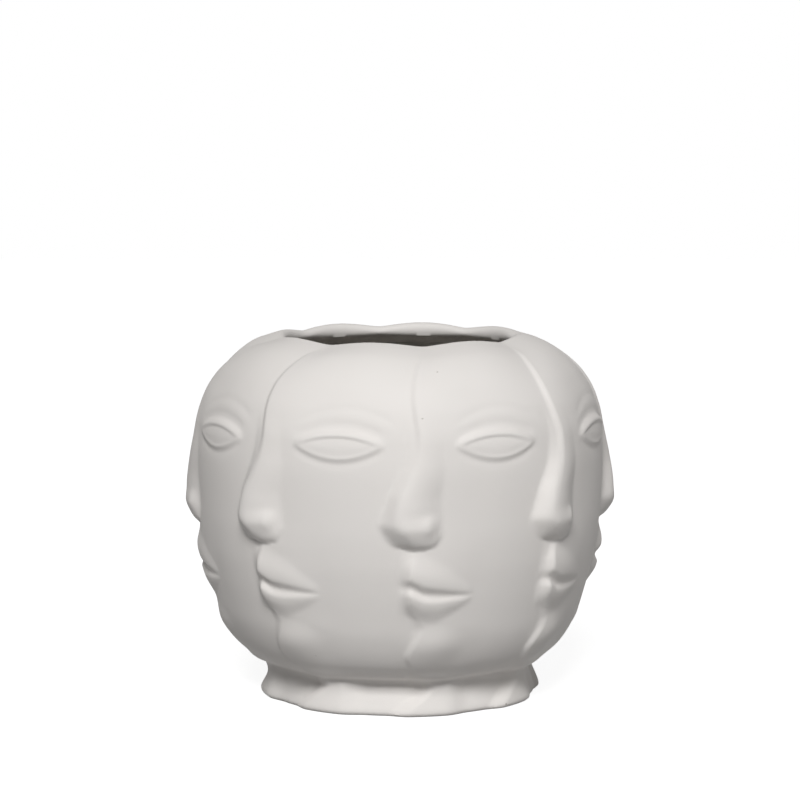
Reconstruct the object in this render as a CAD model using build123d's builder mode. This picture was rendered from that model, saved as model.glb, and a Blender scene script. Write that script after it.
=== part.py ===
from build123d import *
import os
from math import cos, hypot, radians, sin

# Face vase: a slip-cast ceramic bowl on a short flared foot, with a ring of faces in relief.
# Each face overlaps the one on its left: its forehead, nose, lips and chin make a raised edge,
# and its eye and half a mouth lie to the right of that edge. Z is up, and the foot stands on z = 0.
# The front is -Y. Angles are in degrees, turning from the front towards +X.

# Driving sizes, millimetres
vase_height = 151.0  # foot to the mean crest of the rim
belly_radius = 84.5  # the cheeks at their widest
foot_radius = 58.2  # the foot at its widest, between its lobes
neck_radius = 55.4  # the waist between bowl and foot
foot_rounding = 0.9  # radius lost at the very edge of the foot
mouth_radius = 47.4  # clear opening at the lip
lip_thickness = 5.6  # the rounded rim, measured across
lip_depth = 5.6  # from crest to the lip's lower inside edge
lip_undercut = 0.6  # the throat opens out this much under the lip
rim_wave = 2.3  # the rim is this much higher over each face than at each notch
wall = 4.2  # mean ceramic wall of the bowl
floor_height = 11.5  # top of the bowl's floor above the table
foot_recess = 5.0  # hollow under the foot, inside the ring it stands on
foot_ring = 8.0  # width of that ring
floor_inset = 12.0  # the floor's flat part ends this far inside the waist

# Relief, millimetres above the cheek
brow_step = 1.3  # edge of each forehead above the next face
lip_step = 1.5
chin_step = 1.7
foot_step = 0.6
nose_height = 6.7
nostril_height = 4.8
mouth_mound = 1.3
lip_fullness = 2.4
chin_fullness = 1.4
foot_lobe = 1.1
lid_height = 1.25
eye_height = 0.7
brow_crease = 0.35

# Glaze inside
glaze_thickness = 0.4
glaze_gap = 0.05  # bonded skin, kept just clear of the wall
glaze_top_drop = 1.2  # the glaze stops this far under the lip's lower edge

# Layout, degrees
face_count = 8
pitch = 360 / face_count
riser_start, riser_end = -2.2, 0.2  # a face's raised edge rises between these
hold_turn, face_fall = 1.0, 21.0  # stands full up to the first and has faded by the second
lobe_turn, lobe_reach = 4.5, 9.0  # middle and half width of each lobe of the foot

foot_top_share = 0.033  # the foot's flare begins to draw in here, as a share of the height
# The bowl's outline: (share of height, share of the way from neck to belly)
bowl_shares = [
    (0.076, 0.0),
    (0.093, 0.03),
    (0.126, 0.25),
    (0.146, 0.38),
    (0.166, 0.47),
    (0.199, 0.58),
    (0.278, 0.735),
    (0.358, 0.842),
    (0.437, 0.924),
    (0.530, 0.976),
    (0.662, 1.0),
]
# The shoulder's outline: (share of height, share of the way from rim to belly)
shoulder_shares = [
    (0.755, 0.967),
    (0.828, 0.884),
    (0.894, 0.720),
    (0.927, 0.590),
    (0.967, 0.355),
    (0.983, 0.195),
]
# Where each face's raised edge runs: (share of height, degrees from the middle of the nose)
edge_shares = [
    (0.0, 3.5),
    (0.020, 4.8),
    (0.073, 13.0),
    (0.093, 13.5),
    (0.146, 7.0),
    (0.199, 2.4),
    (0.265, 5.4),
    (0.305, 4.4),
    (0.344, 2.8),
    (0.424, 2.8),
    (0.490, 4.2),
    (0.556, 1.0),
    (0.609, 1.8),
    (0.662, 3.8),
    (0.715, 6.0),
    (0.781, 7.0),
    (0.861, 5.2),
    (0.920, 7.0),
    (1.0, 11.2),
]
# Height of the nose's ridge: (share of vase height, share of nose height)
nose_shares = [(0.46, 1.0), (0.556, 1.0), (0.60, 0.85), (0.675, 0.48), (0.755, 0.18), (0.83, 0.0)]
# Half widths of the nose, degrees: (share of vase height, left, right)
nose_left_shares = [(0.46, 6.8), (0.556, 6.4), (0.662, 5.0), (0.795, 3.0)]
nose_right_shares = [(0.46, 7.8), (0.556, 7.4), (0.662, 6.3), (0.795, 5.0)]
# The mouth, from its left end (0) to its corner (1), as shares of vase height
mouth_line_shares = [(0.0, 0.384), (0.2, 0.366), (0.35, 0.359), (1.0, 0.362)]
upper_lip_shares = [(0.0, 0.457), (0.2, 0.447), (0.5, 0.417), (1.0, 0.368)]
lower_lip_shares = [(0.0, 0.286), (0.2, 0.279), (0.5, 0.304), (1.0, 0.356)]

# Places of the features: degrees from the middle of the nose, shares of vase height
nostril_turn, nostril_share = 7.4, 0.545
nostril_width, nostril_rise_share = 4.1, 0.040
nose_base_share, nose_base_tilt_share = 0.519, 0.0016
mouth_start, mouth_end = 2.8, 21.5
chin_turn, chin_share = 10.0, 0.205
chin_width, chin_rise_share = 13.0, 0.073
eye_turn, eye_share = 27.9, 0.754
eye_half_width = 12.6
upper_lid_share, lower_lid_share = 0.0345, 0.0375
brow_share, brow_drop_share = 0.845, 0.029


def between(x, low, high):
    """0 below low, 1 above high and a smooth rise from one to the other."""
    t = min(max((x - low) / (high - low), 0), 1)
    return t * t * (3 - 2 * t)


def hill(x):
    """A round hump: 1 at x = 0, 0 beyond x = 1."""
    t = min(abs(x), 1)
    return (1 - t * t) ** 2


def slope(rows, j):
    """Slope of a curve through rows at row j, level at its peaks and dips."""
    if j in (0, len(rows) - 1):
        k = min(j, len(rows) - 2)
        return (rows[k + 1][1] - rows[k][1]) / (rows[k + 1][0] - rows[k][0])
    before = (rows[j][1] - rows[j - 1][1]) / (rows[j][0] - rows[j - 1][0])
    after = (rows[j + 1][1] - rows[j][1]) / (rows[j + 1][0] - rows[j][0])
    return 2 * before * after / (before + after) if before * after > 0 else 0


def along(rows, x):
    """Height at x of the smooth curve through the points in rows."""
    x = min(max(x, rows[0][0]), rows[-1][0])
    i = max(k for k in range(len(rows) - 1) if rows[k][0] <= x)
    (x0, y0), (x1, y1) = rows[i], rows[i + 1]
    t = (x - x0) / (x1 - x0)
    start, end = slope(rows, i) * (x1 - x0), slope(rows, i + 1) * (x1 - x0)
    rise = (3 * t * t - 2 * t**3) * (y1 - y0)
    return y0 + rise + t * (1 - t) ** 2 * start - t * t * (1 - t) * end


# Rim and foot, worked out from the driving sizes
rim_radius = mouth_radius + lip_thickness
crest_radius = mouth_radius + lip_thickness / 2
outline = (
    [(0, foot_radius - foot_rounding), (foot_rounding, foot_radius)]
    + [(foot_top_share * vase_height, foot_radius - foot_rounding)]
    + [(z * vase_height, neck_radius + k * (belly_radius - neck_radius)) for z, k in bowl_shares]
    + [(z * vase_height, rim_radius + k * (belly_radius - rim_radius)) for z, k in shoulder_shares]
    + [(vase_height - lip_thickness / 6, rim_radius), (vase_height, crest_radius)]
)


def edge_turn(z):
    return along(edge_shares, z / vase_height)


def in_face(angle, centre=0):
    """The angle within one face, counted from centre, from minus half a pitch to plus half."""
    return (angle - centre + pitch / 2) % pitch - pitch / 2


def edge_relief(from_edge, z):
    """The step where a face overlaps its left neighbour: a short rise, then a long fall."""
    share = z / vase_height
    steps = [(0.05, foot_step), (0.10, foot_step / 2), (0.20, chin_step), (0.27, lip_step / 2)]
    steps += [(0.40, lip_step), (0.52, lip_step / 2), (0.74, brow_step / 3), (0.86, brow_step), (1.0, brow_step / 2)]
    rise = between(from_edge, riser_start, riser_end)
    return along(steps, share) * rise * (1 - between(from_edge, hold_turn, face_fall))


def nose_relief(from_edge, across, z):
    """Ridge from the brow to the tip, cut off underneath, with a nostril on its right."""
    share = z / vase_height
    widths = nose_left_shares if from_edge < 0 else nose_right_shares
    base = nose_base_share - nose_base_tilt_share * across
    under = between(share, base - 0.030, base + 0.015)
    ridge = nose_height * along(nose_shares, share) * hill(from_edge / along(widths, share)) * under
    spread = hypot((across - nostril_turn) / nostril_width, (share - nostril_share) / nostril_rise_share)
    nostril = nostril_height * hill(spread) * under
    return (ridge**3 + nostril**3) ** (1 / 3)


def mouth_relief(across, z):
    """Half a mouth: both lips are full at the face's edge and thin out to the corner."""
    share = z / vase_height
    q = (across - mouth_start) / (mouth_end - mouth_start)
    along_mouth = min(max(q, 0), 1)
    parting = along(mouth_line_shares, along_mouth)
    if share > parting:
        t = (share - parting) / (along(upper_lip_shares, along_mouth) - parting)
        lip = between(t, 0, 0.42) * (1 - between(t, 0.42, 1.1))
    else:
        t = (parting - share) / (parting - along(lower_lip_shares, along_mouth))
        lip = between(t, 0, 0.32) * (1 - between(t, 0.35, 1.05))
    taper = (1 - along_mouth) ** 0.7 * between(q, -0.14, 0.07) * (1 - between(q, 0.9, 1.05))
    return (lip_fullness * lip + mouth_mound * hill((share - 0.368) / 0.10)) * taper


def eye_relief(angle, z):
    """An almond eye with a heavy upper lid, a thin lower lid and a soft fold under the brow."""
    share = z / vase_height
    x = in_face(angle, eye_turn) / eye_half_width
    out = min(abs(x), 1)
    ends = 1 - between(abs(x), 0.92, 1.14)
    above = share - eye_share - upper_lid_share * (1 - out**2.1)
    below = eye_share - lower_lid_share * (1 - out**2) - share
    lid = between(above, -0.008, 0.003) * (1 - between(above, 0.005, 0.024)) * (1 - 0.5 * out**3)
    ball = (1 - between(above, 0.003, 0.02)) * (1 - between(below, -0.001, 0.009))
    crease = hill((above - 0.026) / 0.018) + 0.6 * hill((below - 0.013) / 0.014)
    brow = share - brow_share + brow_drop_share * x * x
    fold = hill((brow + 0.024) / 0.020) - hill(brow / 0.016)
    fade = 1 - between(abs(x), 0.8, 1.35)
    return (eye_height * ball + 0.75 * lid_height * lid - brow_crease * crease) * ends + brow_crease * fold * fade


def face_radius(angle, z):
    """Radius of the outside at an angle and a height: the bowl's outline and the faces on it."""
    from_edge = in_face(angle - edge_turn(z))
    across = (angle + pitch / 4) % pitch - pitch / 4
    share = z / vase_height
    radius = along(outline, z) + edge_relief(from_edge, z)
    radius += foot_lobe * hill((from_edge - lobe_turn) / lobe_reach) * (1 - between(share, 0.05, 0.09))
    if share < 0.5:
        chin = hypot((across - chin_turn) / chin_width, (share - chin_share) / chin_rise_share)
        radius += chin_fullness * hill(chin) + mouth_relief(across, z)
    if 0.4 < share < 0.84:
        radius += nose_relief(from_edge, across, z)
    if 0.64 < share < 0.92:
        radius += eye_relief(angle, z)
    return radius


def ring_points(radius_at, height, wave, turns):
    """Points of one closed ring round the vase, rising over each face by wave."""
    points = []
    for k in range(face_count):
        for turn in turns:
            angle = k * pitch + turn + edge_turn(height)
            lift = rim_wave * wave * (abs(sin(radians(180 * turn / pitch))) - 1 / 2)
            radius = radius_at(angle, height)
            points.append((radius * sin(radians(angle)), -radius * cos(radians(angle)), height + lift))
    return points


def ring(points):
    """A closed, smooth line drawn by the points."""
    with BuildLine() as line:
        BSpline(points, range(len(points) + 1), degree=3, periodic=True)
    return line.wire()


# Each face's control lines, as shares of the pitch from its raised edge: closest at the edge
line_shares = (0, 0.05, 0.10, 0.156, 0.22, 0.29, 0.36, 0.435, 0.51, 0.585, 0.66, 0.735, 0.81, 0.88, 0.945)
line_turns = [pitch * share for share in line_shares]

# Heights of the rings up the outside, shares of vase height, closest at lips, nose and eye
outside_shares = [0, 0.006, 0.03, 0.06, 0.08, 0.10, 0.126, 0.15, 0.185, 0.225, 0.26, 0.29, 0.315, 0.34]
outside_shares += [0.36, 0.38, 0.41, 0.445, 0.475, 0.495, 0.512, 0.53, 0.555, 0.59, 0.635, 0.68, 0.705]
outside_shares += [0.72, 0.735, 0.75, 0.765, 0.78, 0.795, 0.815, 0.845, 0.88, 0.915, 0.94, 0.962, 0.98]

rings = []
for share in outside_shares:
    wave = between(share, 0.83, 0.98)
    rings.append(ring(ring_points(face_radius, share * vase_height, wave, line_turns)))

# The lip rolls over the crest and drops inside to a level circle: (share across, share of depth, wave)
lip_shares = [(0.80, 0.06, 1.0), (0.50, 0.0, 1.0), (0.18, 0.09, 1.0), (0.03, 0.30, 0.9)]
lip_shares += [(0.0, 0.62, 0.5), (0.0, 1.0, 0)]
for across, down, wave in lip_shares:
    lip_radius = mouth_radius + across * lip_thickness
    height = vase_height - down * lip_depth
    rings.append(ring(ring_points(lambda angle, z: lip_radius, height, wave, line_turns)))

# Inside of the bowl, its outline in section: arcs that follow the shoulder and belly to a flat floor
lip_bottom = vase_height - lip_depth
arc_shares = [(0.93, 0.83), (0.66, 0.44), (0.34, 0.24)]  # where each arc passes and where it ends


def inner_point(share):
    return (along(outline, share * vase_height) - wall, share * vase_height)


with BuildSketch() as hollow:
    with BuildLine():
        throat = Line((0, lip_bottom), (mouth_radius + lip_undercut, lip_bottom))
        end = throat @ 1
        for middle_share, end_share in arc_shares:
            arc = ThreePointArc(end, inner_point(middle_share), inner_point(end_share))
            end = arc @ 1
        corner = TangentArc(end, (neck_radius - floor_inset, floor_height), tangent=arc % 1)
        floor = Line(corner @ 1, (0, floor_height))
        Line(floor @ 1, throat @ 0)
    make_face()
    mirror(about=Plane.YZ)

# Sub-part: the ceramic body
with BuildPart() as vase_body:
    add(Solid.make_loft(rings))
    with BuildSketch(Plane.XZ):
        add(hollow.sketch)
        Rectangle(belly_radius, vase_height, align=(Align.MIN, Align.MIN), mode=Mode.INTERSECT)
    revolve(axis=Axis.Z, mode=Mode.SUBTRACT)
    with BuildSketch(Plane.XY):
        Circle(foot_radius - foot_ring)
    extrude(amount=foot_recess, mode=Mode.SUBTRACT)
vase_body.part.label = "vase_body"

# Sub-part: the glaze fired onto the inside, open at the top below the lip
with BuildPart() as inner_glaze:
    with BuildSketch(Plane.XZ):
        offset(hollow.sketch, amount=-glaze_gap)
        offset(hollow.sketch, amount=-glaze_gap - glaze_thickness, mode=Mode.SUBTRACT)
        glazed_height = lip_bottom - glaze_top_drop
        Rectangle(belly_radius, glazed_height, align=(Align.MIN, Align.MIN), mode=Mode.INTERSECT)
    revolve(axis=Axis.Z)
inner_glaze.part.label = "inner_glaze"

os.makedirs("parts", exist_ok=True)
export_step(vase_body.part, "parts/vase_body.step")
export_step(inner_glaze.part, "parts/inner_glaze.step")
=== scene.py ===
from math import atan2, cos, degrees, hypot, pi, radians, sin

import bmesh
import bpy
from mathutils import Matrix, Vector


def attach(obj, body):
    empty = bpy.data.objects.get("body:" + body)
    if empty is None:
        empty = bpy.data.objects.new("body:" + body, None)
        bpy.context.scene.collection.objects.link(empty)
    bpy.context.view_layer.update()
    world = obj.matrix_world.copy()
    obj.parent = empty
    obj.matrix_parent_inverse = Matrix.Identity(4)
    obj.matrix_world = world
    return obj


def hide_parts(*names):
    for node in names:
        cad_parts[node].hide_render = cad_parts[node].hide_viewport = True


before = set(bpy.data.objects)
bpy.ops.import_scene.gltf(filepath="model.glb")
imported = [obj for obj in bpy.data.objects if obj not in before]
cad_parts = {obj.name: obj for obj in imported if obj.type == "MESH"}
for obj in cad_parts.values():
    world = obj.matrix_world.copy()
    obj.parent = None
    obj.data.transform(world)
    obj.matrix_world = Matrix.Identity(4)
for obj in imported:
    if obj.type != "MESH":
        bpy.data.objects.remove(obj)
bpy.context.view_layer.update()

# The ceramic body. One slip-cast shell: a round bowl on a short foot, with eight faces pressed into the
# mould, so that each forehead, nose, lips and chin overlap the face on their left. It is fired bisque,
# matt and slightly grainy, left bare outside.

MM = 0.001

# Sizes in millimetres
vase_height = 151.0
belly_radius = 84.5
foot_radius = 56.4
neck_radius = 54.7
foot_rounding = 1.2
mouth_radius = 47.4
lip_thickness = 5.6
lip_depth = 5.6
lip_undercut = 1.2
rim_wave = 2.0  # the rim's notches lie about four fifths of this below its crests
rim_lobe = 0.9  # and about four fifths of this further in
wall = 4.2
floor_height = 11.5
foot_recess = 5.0
foot_ring = 8.0
floor_inset = 9.0

brow_step = 1.5
lip_step = 1.3
chin_step = 1.5
foot_step = 2.4
nose_height = 5.0
nostril_height = 4.2
nose_underside = 9.0
mouth_mound = 0.5
lip_fullness = 1.9
chin_fullness = 1.2
eye_height = 0.8
brow_crease = 0.22

# Layout in degrees, counted from the middle of a nose
face_count = 8
pitch = 360 / face_count
foot_centre, foot_hold, foot_fall = 17.0, 19.0, 31.0
nostril_turn, nostril_end = 6.6, 11.8
mouth_start, mouth_end = 3.0, 21.5
chin_turn, chin_width = 10.5, 11.0
eye_turn, eye_half_width = 27.9, 11.8
brow_turn = 29.5
# In degrees from a face's raised edge: where it starts to fade and is gone, and the nose's crest on its left
face_hold, face_fall = 1.0, 21.0
crest_turn = 1.6

# The bowl's outline: share of the height, then share of the way from neck to belly
bowl_shares = [
    (0.035, 0.020),
    (0.060, -0.020),
    (0.080, -0.035),
    (0.090, -0.025),
    (0.096, 0.000),
    (0.105, 0.13),
    (0.114, 0.22),
    (0.128, 0.305),
    (0.146, 0.406),
    (0.166, 0.487),
    (0.199, 0.587),
    (0.238, 0.675),
    (0.278, 0.738),
    (0.358, 0.846),
    (0.437, 0.926),
    (0.530, 0.977),
    (0.662, 1.0),
]
# The shoulder's outline: share of the height, then share of the way from rim to belly
shoulder_shares = [
    (0.755, 0.967),
    (0.828, 0.884),
    (0.894, 0.720),
    (0.927, 0.590),
    (0.967, 0.355),
    (0.983, 0.195),
]
# Where each face's raised edge runs: share of the height, then degrees
edge_shares = [
    (0.0, 3.6),
    (0.013, 4.8),
    (0.053, 12.5),
    (0.073, 15.3),
    (0.093, 13.0),
    (0.119, 8.5),
    (0.146, 5.0),
    (0.179, 3.4),
    (0.212, 4.8),
    (0.245, 6.6),
    (0.262, 7.4),
    (0.281, 6.4),
    (0.300, 4.7),
    (0.331, 3.4),
    (0.371, 2.9),
    (0.424, 3.2),
    (0.470, 4.6),
    (0.503, 3.2),
    (0.550, 1.2),
    (0.609, 2.0),
    (0.662, 4.0),
    (0.705, 5.4),
    (0.762, 6.0),
    (0.800, 5.5),
    (0.841, 4.9),
    (0.874, 4.7),
    (0.907, 4.9),
    (0.940, 5.8),
    (0.967, 7.5),
    (1.0, 10.6),
]
# How high that edge stands: share of the height, then millimetres
step_shares = [
    (0.0, foot_step),
    (0.05, foot_step * 1.2),
    (0.085, foot_step * 1.5),
    (0.13, chin_step),
    (0.20, chin_step),
    (0.255, chin_step * 0.7),
    (0.29, lip_step * 0.8),
    (0.40, lip_step),
    (0.47, lip_step * 0.7),
    (0.52, lip_step / 2),
    (0.70, brow_step * 0.75),
    (0.80, brow_step),
    (0.94, brow_step),
    (1.0, brow_step / 2),
]
# How wide that edge's rise is, in degrees, by share of the height
riser_shares = [(0.0, 10.0), (0.09, 9.0), (0.16, 2.8), (0.23, 3.0), (0.265, 4.5), (0.30, 3.0), (0.50, 2.6)]
riser_shares += [(0.56, 5.0), (0.68, 3.4), (0.76, 2.4), (0.84, 2.1), (1.0, 2.1)]
# Shares of the height between which the lobes of the foot give way to the faces
foot_top_share, bowl_start_share = 0.07, 0.12
# Height of the nose's ridge: share of the vase's height, then share of the nose's height
nose_shares = [(0.46, 1.0), (0.55, 1.0), (0.587, 0.92), (0.621, 0.76), (0.654, 0.58), (0.688, 0.42)]
nose_shares += [(0.722, 0.28), (0.755, 0.18), (0.80, 0.08), (0.84, 0.0)]
# Half widths of the nose in degrees, by share of the vase's height
nose_left_shares = [(0.46, 6.4), (0.535, 6.4), (0.57, 5.2), (0.60, 4.6), (0.662, 4.1), (0.715, 3.6)]
nose_left_shares += [(0.795, 3.0)]
nose_right_shares = [(0.46, 12.2), (0.556, 12.0), (0.61, 10.8), (0.662, 9.6), (0.715, 8.0), (0.795, 6.5)]
# Where the nose's underside ends: degrees across the face, then share of the vase's height
nose_base_shares = [(-8.0, 0.545), (-5.5, 0.515), (-3.5, 0.497), (-1.0, 0.486), (5.2, 0.480), (9.3, 0.488)]
nose_base_shares += [(11.0, 0.510), (13.5, 0.545)]
nostril_share, nostril_rise_share = 0.538, 0.058
# The mouth from its left end, 0, to its corner, 1: shares of the vase's height
mouth_line_shares = [(0.0, 0.377), (0.1, 0.367), (0.2, 0.359), (0.35, 0.356), (0.7, 0.353), (1.0, 0.352)]
upper_lip_shares = [(0.0, 0.478), (0.25, 0.458), (0.5, 0.436), (0.8, 0.400), (1.0, 0.375)]
lower_lip_shares = [(0.0, 0.296), (0.15, 0.282), (0.35, 0.277), (0.6, 0.296), (0.9, 0.326), (1.0, 0.345)]
mouth_share, mouth_rise_share = 0.370, 0.110
chin_share, chin_rise_share = 0.205, 0.073
eye_share = 0.750
brow_share, brow_drop_share = 0.845, 0.026


def between(x, low, high):
    """0 below low, 1 above high and a smooth rise from one to the other."""
    t = min(max((x - low) / (high - low), 0), 1)
    return t * t * (3 - 2 * t)


def hill(x):
    """A round hump: 1 at x = 0, 0 beyond x = 1."""
    t = min(abs(x), 1)
    return (1 - t * t) ** 2


def slope(rows, j):
    """Slope of a curve through rows at row j, level at its peaks and dips."""
    if j in (0, len(rows) - 1):
        k = min(j, len(rows) - 2)
        return (rows[k + 1][1] - rows[k][1]) / (rows[k + 1][0] - rows[k][0])
    before = (rows[j][1] - rows[j - 1][1]) / (rows[j][0] - rows[j - 1][0])
    after = (rows[j + 1][1] - rows[j][1]) / (rows[j + 1][0] - rows[j][0])
    return 2 * before * after / (before + after) if before * after > 0 else 0


def along(rows, x):
    """Height at x of the smooth curve through the points in rows."""
    x = min(max(x, rows[0][0]), rows[-1][0])
    i = max(k for k in range(len(rows) - 1) if rows[k][0] <= x)
    (x0, y0), (x1, y1) = rows[i], rows[i + 1]
    t = (x - x0) / (x1 - x0)
    start, end = slope(rows, i) * (x1 - x0), slope(rows, i + 1) * (x1 - x0)
    rise = (3 * t * t - 2 * t**3) * (y1 - y0)
    return y0 + rise + t * (1 - t) ** 2 * start - t * t * (1 - t) * end


rim_radius = mouth_radius + lip_thickness
crest_radius = mouth_radius + lip_thickness / 2
lip_bottom = vase_height - lip_depth
bowl_swell, shoulder_swell = belly_radius - neck_radius, belly_radius - rim_radius
outline = [(0, foot_radius - foot_rounding), (foot_rounding, foot_radius)]
outline += [(share * vase_height, neck_radius + out * bowl_swell) for share, out in bowl_shares]
outline += [(share * vase_height, rim_radius + out * shoulder_swell) for share, out in shoulder_shares]
outline += [(vase_height - lip_thickness / 6, rim_radius), (vase_height, crest_radius)]


def edge_turn(z):
    """Where the raised edge runs at a height, in degrees from the middle of the nose."""
    return along(edge_shares, z / vase_height)


def in_face(angle, centre=0):
    """The angle within one face, counted from centre, from minus half a pitch to plus half."""
    return (angle - centre + pitch / 2) % pitch - pitch / 2


notch_softness = 0.2


def rim_hump(from_edge):
    """The rim's wave: 0 over the middle of a face and about -0.8 in the soft notch at its edge."""
    return hypot(sin(pi * from_edge / pitch), notch_softness) - hypot(1, notch_softness)


def edge_relief(from_edge, across, z):
    """The step where a face overlaps its left neighbour: a short rise, then a long fall."""
    share = z / vase_height
    riser = along(riser_shares, share)
    place, turn = in_face(across, foot_centre), edge_turn(z) - foot_centre
    foot_lobe = between(place, turn - riser, turn)
    foot_lobe *= 1 - between(place, foot_hold - foot_centre, foot_fall - foot_centre)
    face_lobe = between(from_edge, -riser, 0) * (1 - between(from_edge, face_hold, face_fall))
    on_foot = 1 - between(share, foot_top_share, bowl_start_share)
    return along(step_shares, share) * (face_lobe + (foot_lobe - face_lobe) * on_foot)


# Powers that round the nose: its underside, its right flank, and the join of its ridge and nostril
underside_power, flank_power, join_power = 0.7, 1.4, 4


def nose_relief(from_edge, across, z):
    """Ridge from the brow to the tip, rounded underneath, with a nostril on its right."""
    share = z / vase_height
    base = along(nose_base_shares, across) * vase_height
    under = min(max((z - base) / nose_underside, 0), 1)
    under = (under * (2 - under)) ** underside_power
    left, right = along(nose_left_shares, share), along(nose_right_shares, share)
    crest = from_edge + crest_turn
    side = hill(crest / left) if crest < 0 else max(1 - (crest / right) ** 2, 0) ** flank_power
    bridge = nose_height * along(nose_shares, share) * side
    bulb = nostril_height * hill((share - nostril_share) / nostril_rise_share)
    bulb *= between(across, -nostril_turn, nostril_turn / 3)
    bulb *= 1 - between(across, nostril_turn, nostril_end)
    return (bridge**join_power + bulb**join_power) ** (1 / join_power) * under


# Each lip as shares of its own height away from the parting: full, starting to fall, gone
upper_full_share, upper_hold_share, upper_end_share = 0.26, 0.30, 1.1
lower_full_share, lower_hold_share, lower_end_share = 0.30, 0.40, 1.05
# The mouth's ends as shares of its length, and the power that thins it out towards its corner
start_low_share, start_full_share = -0.24, 0.03
corner_hold_share, corner_end_share = 0.9, 1.05
taper_power = 0.7


def mouth_relief(across, z):
    """Half a mouth: both lips are full at the face's edge and thin out to the corner."""
    share = z / vase_height
    q = (across - mouth_start) / (mouth_end - mouth_start)
    along_mouth = min(max(q, 0), 1)
    parting = along(mouth_line_shares, along_mouth)
    if share > parting:
        t = (share - parting) / (along(upper_lip_shares, along_mouth) - parting)
        lip = between(t, 0, upper_full_share) * (1 - between(t, upper_hold_share, upper_end_share))
    else:
        t = (parting - share) / (parting - along(lower_lip_shares, along_mouth))
        lip = between(t, 0, lower_full_share) * (1 - between(t, lower_hold_share, lower_end_share))
    taper = (1 - along_mouth) ** taper_power * between(q, start_low_share, start_full_share)
    taper *= 1 - between(q, corner_hold_share, corner_end_share)
    mound = mouth_mound * hill((share - mouth_share) / mouth_rise_share)
    return (lip_fullness * lip + mound) * taper


# The eye's opening in millimetres above and below its middle, and the powers that shape its almond
upper_lid_opening, upper_lid_power = 3.6, 2.1
lower_lid_opening, lower_lid_power = 5.0, 2
# The upper lid, in millimetres above the opening: where it rises, stands full and has fallen
lid_low, lid_top, lid_hold, lid_width = -0.9, 0.5, 0.6, 3.3
lid_height = 1.4
lid_thinning_share = 0.4
# The eyeball's edges in millimetres outside the opening, its bulge, and the thin lower lid
ball_top_hold, ball_top_end = -0.9, 0.8
ball_low_hold, ball_low_end = -0.2, 2.6
bulge_share, bulge_reach = 0.3, 4
lower_lid_share, lower_lid_place, lower_lid_reach = 0.2, 0.1, 1.0
# The creases, in millimetres above the upper lid and below the opening
upper_crease_place, upper_crease_reach = 1.2, 2.8
lower_crease_share, lower_crease_place, lower_crease_reach = 0.5, 3.0, 2.0
# The fold under the brow as a share of the brow's own crease, then their places as shares of the height
fold_depth_share = 0.7
fold_drop_share, fold_reach_share = 0.022, 0.020
brow_reach_share = 0.014
# Where the eye and the brow fade out, as shares of the eye's half width
eye_hold_share, eye_end_share = 0.90, 1.14
brow_hold_share, brow_end_share = 0.8, 1.3


def eye_relief(angle, z):
    """An almond eye with a heavy upper lid, a thin lower lid and a soft fold under the brow."""
    share = z / vase_height
    x = in_face(angle, eye_turn) / eye_half_width
    out = min(abs(x), 1)
    ends = 1 - between(abs(x), eye_hold_share, eye_end_share)
    above = z - eye_share * vase_height - upper_lid_opening * (1 - out**upper_lid_power)
    below = eye_share * vase_height - lower_lid_opening * (1 - out**lower_lid_power) - z
    lid = between(above, lid_low, lid_top) * (1 - between(above, lid_hold, lid_width))
    lid *= 1 - lid_thinning_share * out**3
    ball = 1 - between(above, ball_top_hold, ball_top_end)
    ball *= 1 - between(below, ball_low_hold, ball_low_end)
    bulge = bulge_share * between(-above, 0, bulge_reach) * between(-below, 0, bulge_reach)
    bulge += lower_lid_share * hill((below - lower_lid_place) / lower_lid_reach)
    crease = hill((above - lid_width - upper_crease_place) / upper_crease_reach)
    crease += lower_crease_share * hill((below - lower_crease_place) / lower_crease_reach)
    x_brow = in_face(angle, brow_turn) / eye_half_width
    brow = share - brow_share + brow_drop_share * x_brow * x_brow
    fold = fold_depth_share * hill((brow + fold_drop_share) / fold_reach_share)
    fold -= hill(brow / brow_reach_share)
    fade = 1 - between(abs(x_brow), brow_hold_share, brow_end_share)
    eye = (eye_height * (ball + bulge) + lid_height * lid - brow_crease * crease) * ends
    return eye + brow_crease * fold * fade


# Shares of the height where the rim's lobes and its wave set in, and where both are full
lobe_start_share, wave_start_share, rim_full_share = 0.84, 0.83, 0.98
# Shares of the height between which each feature lies
mouth_top_share = 0.5
nose_low_share, nose_top_share = 0.4, 0.86
eye_low_share, brow_top_share = 0.64, 0.92


def face_radius(angle, z):
    """Radius of the outside at an angle and a height: the bowl's outline and the faces on it."""
    from_edge = in_face(angle - edge_turn(z))
    across = (angle + pitch / 4) % pitch - pitch / 4
    share = z / vase_height
    radius = along(outline, z) + edge_relief(from_edge, across, z)
    radius += rim_lobe * (rim_hump(from_edge) + 1 / 2) * between(share, lobe_start_share, rim_full_share)
    if share < mouth_top_share:
        chin = hypot((across - chin_turn) / chin_width, (share - chin_share) / chin_rise_share)
        radius += chin_fullness * hill(chin) + mouth_relief(across, z)
    if nose_low_share < share < nose_top_share:
        radius += nose_relief(from_edge, across, z)
    if eye_low_share < share < brow_top_share:
        radius += eye_relief(angle, z)
    return radius


crease_angle = radians(50)
weld = 1e-3  # points closer than this, in millimetres, are one


def new_piece(name, mesh):
    """A bmesh made into a smooth object at the origin, in metres."""
    data = bpy.data.meshes.new(name)
    mesh.to_mesh(data)
    mesh.free()
    data.shade_smooth()
    data.set_sharp_from_angle(angle=crease_angle)
    piece = bpy.data.objects.new(name, data)
    bpy.context.collection.objects.link(piece)
    return piece


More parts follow.
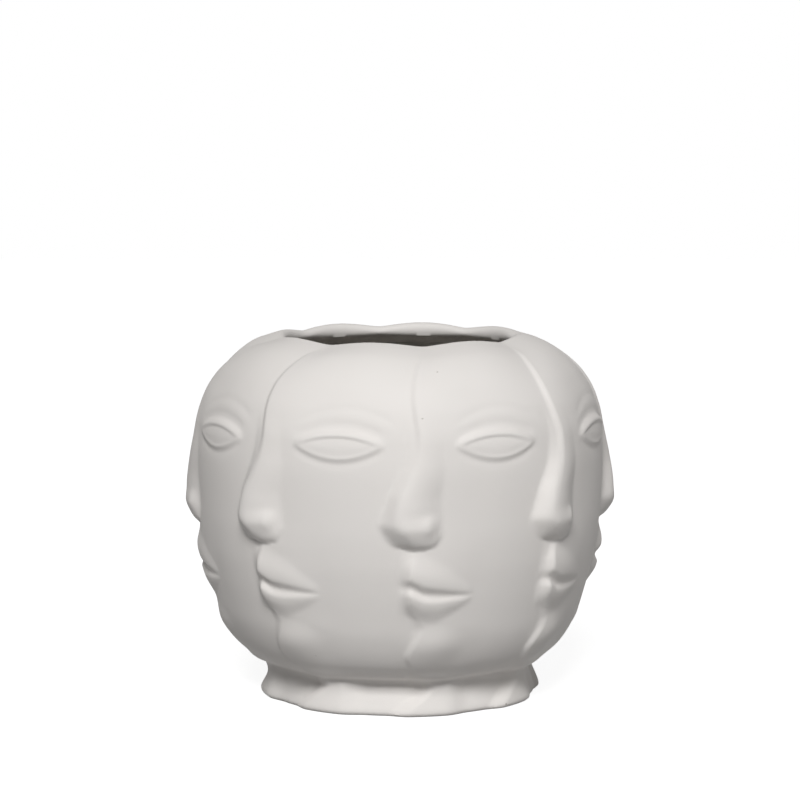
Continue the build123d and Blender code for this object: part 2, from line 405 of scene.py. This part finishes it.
def chain(mesh, points, cuts):
    """A line of vertices through points of (radius, height), cut into more rows between them."""
    verts = [mesh.verts.new((radius, 0, height)) for radius, height in points]
    edges = [mesh.edges.new(pair) for pair in zip(verts, verts[1:])]
    for edge, count in zip(edges, cuts):
        if count:
            bmesh.ops.subdivide_edges(mesh, edges=[edge], cuts=count)


def turn_round(mesh, columns, copies=1):
    """Spins the line about the vase's axis, in equal sectors, and closes the seams and the middle."""
    bmesh.ops.spin(
        mesh,
        geom=mesh.verts[:] + mesh.edges[:],
        cent=(0, 0, 0),
        axis=(0, 0, 1),
        angle=2 * pi / copies,
        steps=columns // copies,
        use_merge=copies == 1,
        use_duplicate=False,
    )
    sector = mesh.verts[:] + mesh.edges[:] + mesh.faces[:]
    for k in range(1, copies):
        parts = bmesh.ops.duplicate(mesh, geom=sector)["geom"]
        verts = [part for part in parts if isinstance(part, bmesh.types.BMVert)]
        turn = Matrix.Rotation(2 * pi * k / copies, 3, "Z")
        bmesh.ops.rotate(mesh, verts=verts, cent=(0, 0, 0), matrix=turn)
    bmesh.ops.remove_doubles(mesh, verts=mesh.verts, dist=weld)
    bmesh.ops.recalc_face_normals(mesh, faces=mesh.faces)


# The inside runs at wall thickness under the shoulder and down the belly, then rounds into a flat floor
floor_radius = neck_radius - floor_inset
corner_share, corner_run = 0.098, 1.6 * wall
inner_shares = [0.24, 0.34, 0.44, 0.55, 0.66, 0.75, 0.83, 0.885, 0.93]
inner_outline = [(floor_height, floor_radius), (corner_share * vase_height, floor_radius + corner_run)]
inner_outline += [(share * vase_height, along(outline, share * vase_height) - wall) for share in inner_shares]
throat = (mouth_radius + lip_undercut, lip_bottom)

# Rows of the outside between these heights: shares of the height, then how often each span is cut
span_shares = [0, 0.012, 0.08, 0.12, 0.20, 0.265, 0.44, 0.60, 0.695, 0.81, 0.865, 0.905, 0.945, 0.98]
span_cuts = [1, 8, 5, 10, 9, 31, 25, 10, 28, 7, 4, 4, 3]
# The rolled lip down to the throat: share of its thickness, share of its depth, then the cuts
lip_shares = [(0.80, 0.06), (0.50, 0.0), (0.25, 0.06), (0.08, 0.20), (0.0, 0.42), (0.04, 0.70)]
lip_cuts = [1, 1, 1, 1, 0, 0, 0]
columns_per_face = 60

body_mesh = bmesh.new()
outside = [(along(outline, share * vase_height), share * vase_height) for share in span_shares]
outside_top = outside[-1][1]
lip = [(mouth_radius + out * lip_thickness, vase_height - down * lip_depth) for out, down in lip_shares]
inside = [(radius, height) for height, radius in reversed(inner_outline)]
ring_inside = foot_radius - foot_ring
under = [(0, foot_recess), (ring_inside, foot_recess), (ring_inside, 0)]
points = under + outside + lip + [throat] + inside + [(0, floor_height)]
cuts = [0] * len(under) + span_cuts + lip_cuts + [2] + [1] * len(inside)
chain(body_mesh, points, cuts)
for vert in body_mesh.verts:
    if vert.co.x > along(outline, vert.co.z) - wall / 2 and vert.co.z < outside_top:
        vert.co.x = along(outline, vert.co.z)
turn_round(body_mesh, columns_per_face * face_count, face_count)

# The mesh's columns follow the raised edges and crowd towards them
crowding = 0.06
# The face on the right stands a little off its even place, as on the real vase: all in degrees
drift_turn, drift_centre, drift_reach = 1.2, 50.0, 45.0
# Shares of the lip's depth from which its lobes and its wave die out down its inside
lip_lobe_share, lip_wave_share = 0.4, 0.3
# Radii already worked out, by their place on one face
known = {}
for vert in body_mesh.verts:
    radius, height = hypot(vert.co.x, vert.co.y), vert.co.z
    if radius < weld:
        continue
    on_outside = radius > along(outline, height) - wall / 2 and height <= outside_top + weld
    on_lip = not on_outside and height > lip_bottom + weld
    if on_outside:
        seam = height
    else:
        seam = vase_height if height > floor_height - weld else 0
    share = degrees(atan2(vert.co.x, -vert.co.y)) / pitch
    angle = pitch * (share - crowding * sin(2 * pi * share)) + edge_turn(seam)
    hump = rim_hump(angle - edge_turn(seam))
    if on_outside:
        spot = (round(in_face(angle), 3), round(height, 3))
        if spot not in known:
            known[spot] = face_radius(angle, height)
        radius = known[spot]
        height += rim_wave * hump * between(height / vase_height, wave_start_share, rim_full_share)
    elif on_lip:
        drop = (vase_height - height) / lip_depth
        radius += rim_lobe * (hump + 1 / 2) * (1 - between(drop, lip_lobe_share, 1))
        height += rim_wave * hump * (1 - between(drop, lip_wave_share, 1))
    angle -= drift_turn * hill(((angle + 180) % 360 - 180 - drift_centre) / drift_reach)
    vert.co = (radius * sin(radians(angle)), -radius * cos(radians(angle)), height)
bmesh.ops.transform(body_mesh, matrix=Matrix.Scale(MM, 4), verts=body_mesh.verts)
body = new_piece("cast_body", body_mesh)


class Value:
    """A shader socket that takes part in Python sums."""

    def __init__(self, tree, socket):
        self.tree, self.socket = tree, socket

    def math(self, operation, other):
        return add_node(self.tree, "ShaderNodeMath", {"operation": operation}, {0: self, 1: other})

    def __add__(self, other):
        return self.math("ADD", other)

    def __mul__(self, other):
        return self.math("MULTIPLY", other)

    __radd__ = __add__
    __rmul__ = __mul__


def add_node(tree, kind, settings=None, inputs=None, output=0):
    """Adds a node, sets it, then fills or links its sockets."""
    node = tree.nodes.new(kind)
    for key, value in (settings or {}).items():
        setattr(node, key, value)
    for key, value in (inputs or {}).items():
        if isinstance(value, Value):
            tree.links.new(value.socket, node.inputs[key])
        else:
            node.inputs[key].default_value = value
    return Value(tree, node.outputs[output])


def new_material(name):
    """A material, its nodes and its shader."""
    material = bpy.data.materials.new(name)
    material.use_nodes = True
    return material, material.node_tree, material.node_tree.nodes["Principled BSDF"]


def feed(shader, name, value):
    """Links a value to one of the shader's sockets."""
    shader.id_data.links.new(value.socket, shader.inputs[name])


def mix_colour(tree, mask, first, second):
    """The first colour where mask is 0, the second where it is 1."""
    return add_node(tree, "ShaderNodeMix", {"data_type": "RGBA"}, {0: mask, 6: first, 7: second}, 2)


def ramp(tree, value, low, high):
    """0 where value is low or beyond, 1 where it is high or beyond."""
    return add_node(tree, "ShaderNodeMapRange", None, {0: value, 1: low, 2: high, 3: 0.0, 4: 1.0})


# Fired clay with a soft clouding, a fine grain and sparse dark flecks, as wide as a share of their cell
# and only in the few cells where a second noise is high
clay, warm_clay, dark_fleck = (0.79, 0.762, 0.737, 1), (0.765, 0.735, 0.705, 1), (0.30, 0.27, 0.23, 1)
fleck_edge, fleck_core = 0.10, 0.05
fleck_rare, fleck_sure = 0.70, 0.72
fleck_strength = 0.7
clay_roughness, clay_unevenness = 0.64, 0.12

bisque, tree, shader = new_material("bare_bisque")
place = add_node(tree, "ShaderNodeTexCoord", output="Object")
cloud = add_node(tree, "ShaderNodeTexNoise", inputs={"Vector": place, "Scale": 28.0, "Detail": 3.0})
grain = add_node(tree, "ShaderNodeTexNoise", inputs={"Vector": place, "Scale": 1500.0, "Detail": 4.0})
fleck_cell = add_node(tree, "ShaderNodeTexVoronoi", inputs={"Vector": place, "Scale": 160.0})
fleck_pick = add_node(tree, "ShaderNodeTexNoise", inputs={"Vector": place, "Scale": 90.0, "Detail": 1.0})
fleck = ramp(tree, fleck_cell, fleck_edge, fleck_core) * ramp(tree, fleck_pick, fleck_rare, fleck_sure)
tone = mix_colour(tree, cloud, clay, warm_clay)
feed(shader, "Base Color", mix_colour(tree, fleck * fleck_strength, tone, dark_fleck))
feed(shader, "Roughness", clay_roughness + cloud * clay_unevenness)
shader.inputs["Specular IOR Level"].default_value = 0.25
bump = add_node(tree, "ShaderNodeBump", None, {"Strength": 0.25, "Distance": 0.0001, "Height": grain})
feed(shader, "Normal", bump)
body.data.materials.append(bisque)
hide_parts("vase_body")
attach(body, "root")

# The glaze inside. A clear gloss coat poured in and swilled round before the second firing, so that the
# bowl holds water. It lies on the wall from just under the lip to the middle of the floor. Its grey, darker
# than the clay it covers, is painted shade for the inside of the bowl.

glaze_thickness = 0.4
glaze_gap = 0.05
glaze_top_drop = 1.2
glaze_top_run = 8 * glaze_top_drop  # its upper edge is this far out from the throat, tucked into the wall
glaze_columns = 128


def lining(inset):
    """Points down the inside, from under the lip to the edge of the floor, moved off the wall."""
    top = (throat[0] + glaze_top_run, lip_bottom - glaze_top_drop)
    wall_points = [(radius - inset, height - inset / 2) for height, radius in reversed(inner_outline[1:])]
    return [top] + wall_points + [(floor_radius, floor_height + inset)]


glaze_mesh = bmesh.new()
near_wall, near_water = lining(glaze_gap), lining(glaze_gap + glaze_thickness)
points = [(0, floor_height + glaze_gap)] + list(reversed(near_wall)) + near_water
points += [(0, floor_height + glaze_gap + glaze_thickness)]
side_cuts = [2] * (len(near_wall) - 1)
chain(glaze_mesh, points, [0] + side_cuts + [0] + side_cuts + [0])
turn_round(glaze_mesh, glaze_columns)
bmesh.ops.transform(glaze_mesh, matrix=Matrix.Scale(MM, 4), verts=glaze_mesh.verts)
glaze = new_piece("glaze_lining", glaze_mesh)

# A grey well below the clay's colour, as painted shade inside the bowl; the noise between the two gives the
# glaze's runs
painted_shade_glaze_pale, painted_shade_glaze_deep = (0.52, 0.495, 0.46, 1), (0.48, 0.455, 0.42, 1)
glaze_roughness, glaze_unevenness = 0.10, 0.12

gloss, tree, shader = new_material("gloss_glaze_painted_shade")
place = add_node(tree, "ShaderNodeTexCoord", output="Object")
runs = add_node(tree, "ShaderNodeTexNoise", inputs={"Vector": place, "Scale": 35.0, "Detail": 2.0})
feed(shader, "Base Color", mix_colour(tree, runs, painted_shade_glaze_pale, painted_shade_glaze_deep))
feed(shader, "Roughness", glaze_roughness + runs * glaze_unevenness)
ripple = add_node(tree, "ShaderNodeBump", None, {"Strength": 0.2, "Distance": 0.0004, "Height": runs})
feed(shader, "Normal", ripple)
glaze.data.materials.append(gloss)
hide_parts("inner_glaze")
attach(glaze, "root")

# The studio. A sheet of white paper, one large soft light in front, above and a little to the left, a weak
# one on the right, and the photograph's long lens, a little above the rim and tipped down.

paper_reach = 3.0
paper_grey = (0.31, 0.31, 0.31, 1)
paper_glow = 0.88

floor_mesh = bmesh.new()
bmesh.ops.create_grid(floor_mesh, x_segments=1, y_segments=1, size=paper_reach)
floor = new_piece("paper_floor", floor_mesh)


def sees_white(tree):
    """1 for the camera's own rays and for those that gloss or glass sends on, and else 0."""
    rays = ("Is Camera Ray", "Is Glossy Ray", "Is Transmission Ray")
    return sum(add_node(tree, "ShaderNodeLightPath", output=ray) for ray in rays)


paper, tree, shader = new_material("white_paper")
shader.inputs["Base Color"].default_value = paper_grey
shader.inputs["Roughness"].default_value = 0.9
seen = sees_white(tree)
own = Value(tree, shader.outputs[0])
glow = add_node(tree, "ShaderNodeEmission", None, {"Strength": paper_glow})
bright = add_node(tree, "ShaderNodeAddShader", None, {0: own, 1: glow})
shown = add_node(tree, "ShaderNodeMixShader", None, {0: seen, 1: own, 2: bright})
tree.links.new(shown.socket, tree.nodes["Material Output"].inputs[0])
floor.data.materials.append(paper)

world = bpy.data.worlds.new("studio")
bpy.context.scene.world = world
world.use_nodes = True
tree = world.node_tree
room = tree.nodes["Background"]
room.inputs["Color"].default_value = (1.0, 0.985, 0.97, 1)
room.inputs["Strength"].default_value = 0.075
soft = Value(tree, room.outputs[0])
white = add_node(tree, "ShaderNodeBackground", None, {"Color": (1, 1, 1, 1), "Strength": 1.0})
sky = add_node(tree, "ShaderNodeMixShader", None, {0: sees_white(tree), 1: soft, 2: white})
tree.links.new(sky.socket, tree.nodes["World Output"].inputs[0])

lamp_target = Vector((0, 0, 0.09))


def soft_box(name, place, size, power):
    """A rectangular soft light that looks at the vase."""
    light = bpy.data.lights.new(name, "AREA")
    light.shape = "RECTANGLE"
    light.size, light.size_y = size
    light.energy = power
    lamp = bpy.data.objects.new(name, light)
    bpy.context.collection.objects.link(lamp)
    lamp.location = place
    aim = lamp_target - Vector(place)
    lamp.rotation_euler = aim.to_track_quat("-Z", "Y").to_euler()


soft_box("key_light", place=(-0.27, -2.75, 2.40), size=(1.3, 0.9), power=113.5)
soft_box("side_fill", place=(1.60, -0.50, 0.60), size=(0.9, 1.2), power=2.4)

# The photograph's scale on the vase's axis at this height gives the lens its length
pixel = 0.42 * MM
scale_height = 80 * MM
camera_distance, camera_height, camera_left = 2880 * pixel, 607 * pixel, 0.3 * pixel
camera_tip = radians(6.25)
sensor_width = 36
image_width = 800
depth = camera_distance * cos(camera_tip) + (camera_height - scale_height) * sin(camera_tip)
camera_data = bpy.data.cameras.new("camera")
camera_data.sensor_width = sensor_width
camera_data.lens = sensor_width * (depth / pixel) / image_width
camera = bpy.data.objects.new("camera", camera_data)
bpy.context.collection.objects.link(camera)
camera.location = (-camera_left, -camera_distance, camera_height)
camera.rotation_euler = (pi / 2 - camera_tip, 0, 0)
bpy.context.scene.camera = camera
bpy.context.scene.view_settings.view_transform = "Standard"
